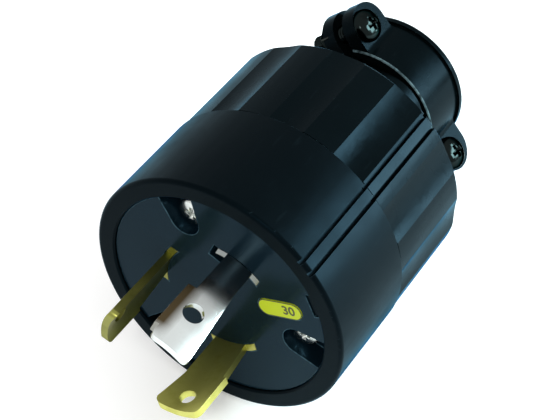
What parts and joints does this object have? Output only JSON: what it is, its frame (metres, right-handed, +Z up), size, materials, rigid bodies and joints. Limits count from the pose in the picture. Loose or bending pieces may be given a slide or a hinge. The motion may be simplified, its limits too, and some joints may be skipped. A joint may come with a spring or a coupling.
{
  "type": "twist-lock plug",
  "caption": "Round black rewireable twist-lock plug with curved locking blades, a fluted grip and a screwed cord clamp.",
  "frame": {"origin": "centre of the face disc's front face, on the plug's axis", "axes": "blades point to -Y, the cord leaves towards +Y, +Z is up; angles run from +X towards +Z seen from the front"},
  "size_m": [0.0564, 0.1043, 0.0564],
  "materials": {
    "moulded_black": "satin moulded",
    "block_grey": "moulded",
    "blade_brass": "stamped",
    "blade_nickel": "nickel plated",
    "insert_brass": "turned",
    "plate_steel": "zinc plated",
    "screw_steel": "nickel plated",
    "screw_black": "blackened",
    "screw_brass": "plain",
    "screw_green": "dyed",
    "label_yellow": "printed"
  },
  "bodies": {
    "plug_body": {"front_collar": "moulded_black", "rear_shell": "moulded_black", "face_disc": "moulded_black", "terminal_block": "block_grey", "hot_blade": "blade_brass", "neutral_blade": "blade_brass", "ground_blade": "blade_nickel", "assembly_screws": "screw_steel", "shell_inserts": "insert_brass", "rating_label": "label_yellow", "far_saddle": "moulded_black", "clamp_nuts": "screw_black"},
    "clamp_half": {"near_saddle": "moulded_black"},
    "upper_screw": {"clamp_screw_upper": "screw_black"},
    "lower_screw": {"clamp_screw_lower": "screw_black"},
    "hot_plate": {"hot_pressure_plate": "plate_steel"},
    "hot_screw": {"hot_terminal_screw": "screw_brass"},
    "neutral_plate": {"neutral_pressure_plate": "plate_steel"},
    "neutral_screw": {"neutral_terminal_screw": "screw_steel"},
    "ground_plate": {"ground_pressure_plate": "plate_steel"},
    "ground_screw": {"ground_terminal_screw": "screw_green"}
  },
  "joints": [
    {"name": "clamp_slide", "type": "slide", "parent": "plug_body", "child": "clamp_half", "axis": [0.757, 0, 0.6534], "range_m": [-0.0014, 0.0035]},
    {"name": "upper_screw_turn", "type": "hinge", "parent": "clamp_half", "child": "upper_screw", "pos_m": [-0.01134, 0.071, 0.01313], "axis": [0.757, 0, 0.6534], "range_deg": [-720, 1800]},
    {"name": "lower_screw_turn", "type": "hinge", "parent": "clamp_half", "child": "lower_screw", "pos_m": [0.01134, 0.071, -0.01313], "axis": [0.757, 0, 0.6534], "range_deg": [-720, 1800]},
    {"name": "hot_plate_slide", "type": "slide", "parent": "plug_body", "child": "hot_plate", "axis": [0, 1, 0], "range_m": [0, 0.0028]},
    {"name": "hot_screw_turn", "type": "hinge", "parent": "hot_plate", "child": "hot_screw", "pos_m": [0.00494, 0.0232, -0.01616], "axis": [0, 1, 0], "range_deg": [0, 1440]},
    {"name": "neutral_plate_slide", "type": "slide", "parent": "plug_body", "child": "neutral_plate", "axis": [0, 1, 0], "range_m": [0, 0.0028]},
    {"name": "neutral_screw_turn", "type": "hinge", "parent": "neutral_plate", "child": "neutral_screw", "pos_m": [-0.0162, 0.0232, 0.0048], "axis": [0, 1, 0], "range_deg": [0, 1440]},
    {"name": "ground_plate_slide", "type": "slide", "parent": "plug_body", "child": "ground_plate", "axis": [0, 1, 0], "range_m": [0, 0.0028]},
    {"name": "ground_screw_turn", "type": "hinge", "parent": "ground_plate", "child": "ground_screw", "pos_m": [0.00687, 0.0232, 0.01544], "axis": [0, 1, 0], "range_deg": [0, 1440]}
  ],
  "couplings": [
    {"joint": "upper_screw_turn", "follows": "clamp_slide", "rad_per_m": 8976},
    {"joint": "lower_screw_turn", "follows": "clamp_slide", "rad_per_m": 8976},
    {"joint": "hot_screw_turn", "follows": "hot_plate_slide", "rad_per_m": 8976},
    {"joint": "neutral_screw_turn", "follows": "neutral_plate_slide", "rad_per_m": 8976},
    {"joint": "ground_screw_turn", "follows": "ground_plate_slide", "rad_per_m": 8976}
  ]
}
